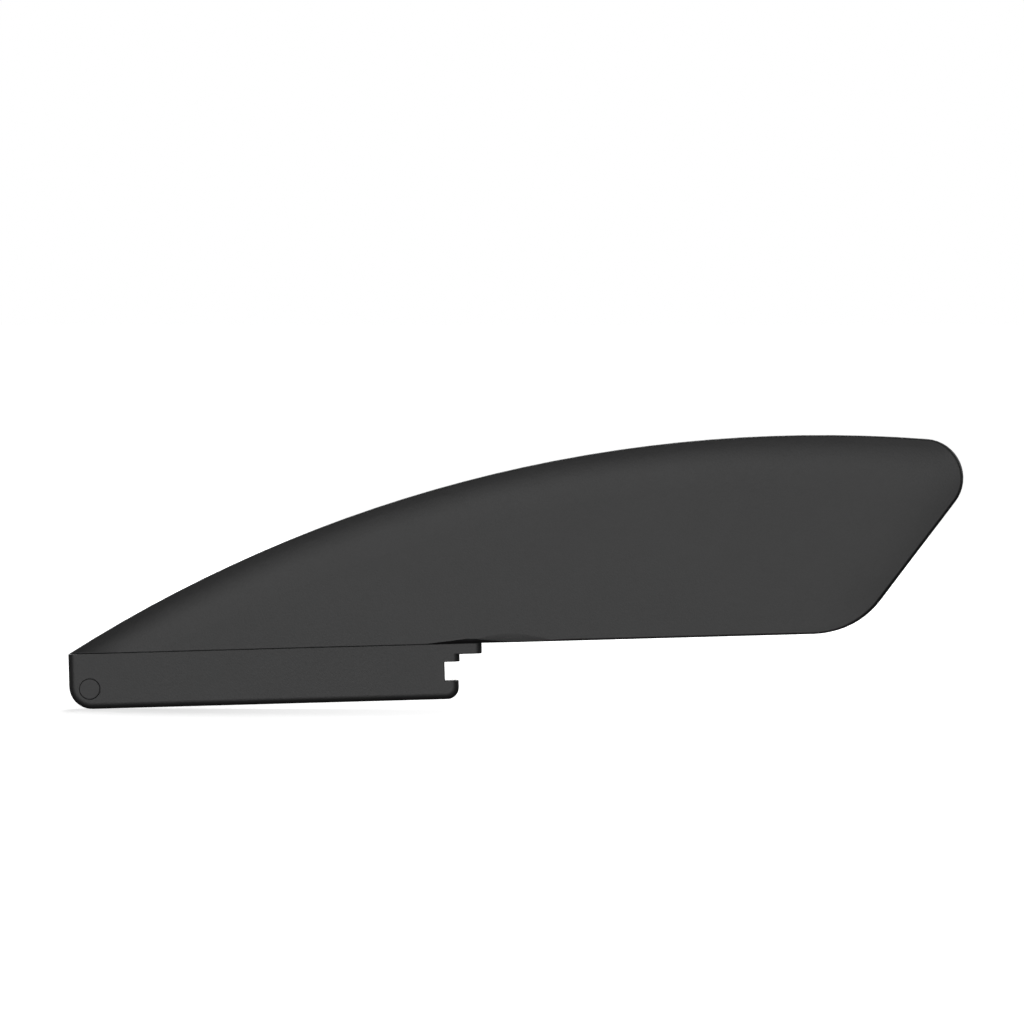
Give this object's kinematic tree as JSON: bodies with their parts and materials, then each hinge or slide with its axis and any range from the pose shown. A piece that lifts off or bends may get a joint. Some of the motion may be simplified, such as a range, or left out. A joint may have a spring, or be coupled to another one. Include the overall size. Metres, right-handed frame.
{
  "type": "center fin",
  "caption": "Low swept center fin for a paddle board or kayak, moulded in one piece, with a slide-in tab, pivot bosses and a latch notch.",
  "frame": {"origin": "top front corner of the tab, in the middle of its thickness, where the leading edge starts and the hull's skin lies", "axes": "+X aft along the root line, +Y across the fin, +Z from the tab to the crest of the blade (downwards in use)"},
  "size_m": [0.4131, 0.012, 0.1168],
  "materials": {
    "moulded_black": "fine matte texture from the mould"
  },
  "bodies": {
    "root": {"center_fin": "moulded_black"}
  },
  "joints": []
}
